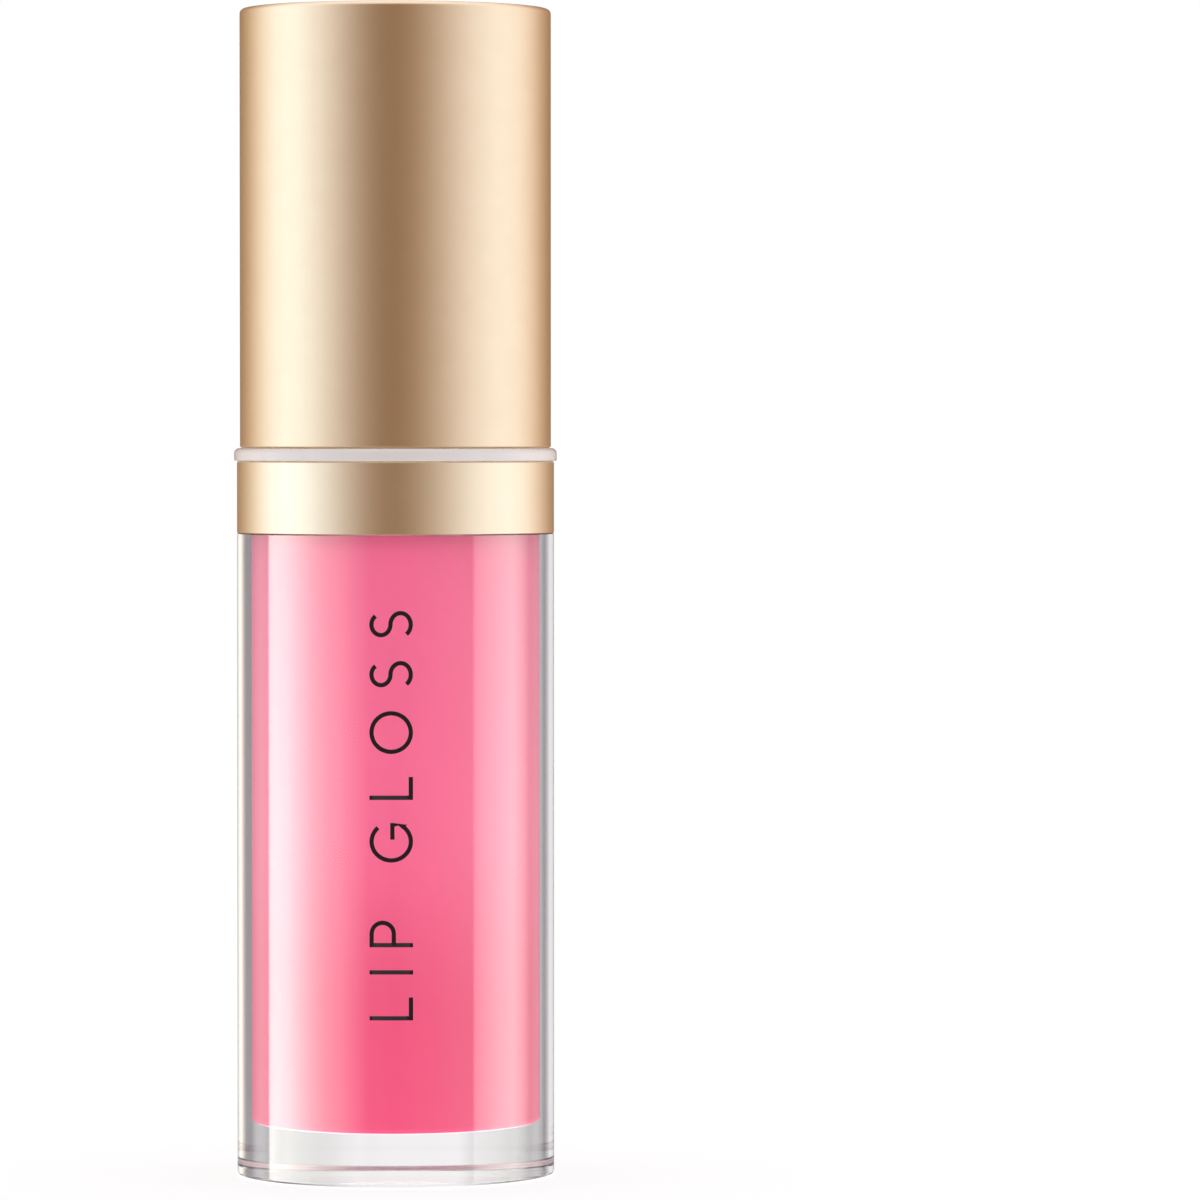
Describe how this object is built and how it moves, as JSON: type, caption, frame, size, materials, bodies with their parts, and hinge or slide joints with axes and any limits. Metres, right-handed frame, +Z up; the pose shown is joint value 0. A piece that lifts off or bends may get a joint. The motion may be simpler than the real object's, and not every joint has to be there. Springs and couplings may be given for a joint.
{
  "type": "lip gloss tube",
  "caption": "Round clear lip gloss tube with a gold screw cap; unscrew and lift the cap to draw out its stem and flocked applicator.",
  "frame": {"origin": "centre of the bottle's foot, on the ground plane", "axes": "+Z up along the tube's axis, from the foot to the cap's top; the tube is round, and +X is the fuller side of the applicator"},
  "size_m": [0.0208, 0.0208, 0.075],
  "materials": {
    "clear_wall": "clear, polished",
    "gold_band": "satin gold anodised",
    "clear_neck": "clear, slightly frosted",
    "wiper_plastic": "waxy translucent",
    "gloss": "wet pink gel",
    "seal_foam": "closed-cell foam",
    "weight_steel": "turned",
    "gold_shell": "satin gold anodised",
    "inner_plastic": "moulded, satin",
    "stem_plastic": "satin",
    "core_elastomer": "soft elastomer",
    "flock": "short flock, wet with gloss"
  },
  "bodies": {
    "bottle": {"bottle": "clear_wall", "collar_band": "gold_band", "neck_insert": "clear_neck", "wiper": "wiper_plastic", "gloss_fill": "gloss"},
    "lift_carrier": {"seal_ring": "seal_foam"},
    "rise_carrier": {"cap_weight": "weight_steel"},
    "cap": {"cap_shell": "gold_shell", "inner_cap": "inner_plastic", "stem": "stem_plastic", "applicator_core": "core_elastomer", "flock_coat": "flock"}
  },
  "joints": [
    {"name": "cap_lift", "type": "slide", "parent": "bottle", "child": "lift_carrier", "axis": [0, 0, 1], "range_m": [0, 0.06], "deforming": ["wiper", "gloss_fill"]},
    {"name": "cap_rise", "type": "slide", "parent": "lift_carrier", "child": "rise_carrier", "axis": [0, 0, 1], "range_m": [0, 0.003]},
    {"name": "cap_turn", "type": "hinge", "parent": "rise_carrier", "child": "cap", "pos_m": [0, 0, 0.05], "axis": [0, 0, 1], "range_deg": [0, 450]}
  ],
  "couplings": [
    {"joint": "cap_rise", "follows": "cap_turn", "m_per_rad": 0.00038197}
  ]
}
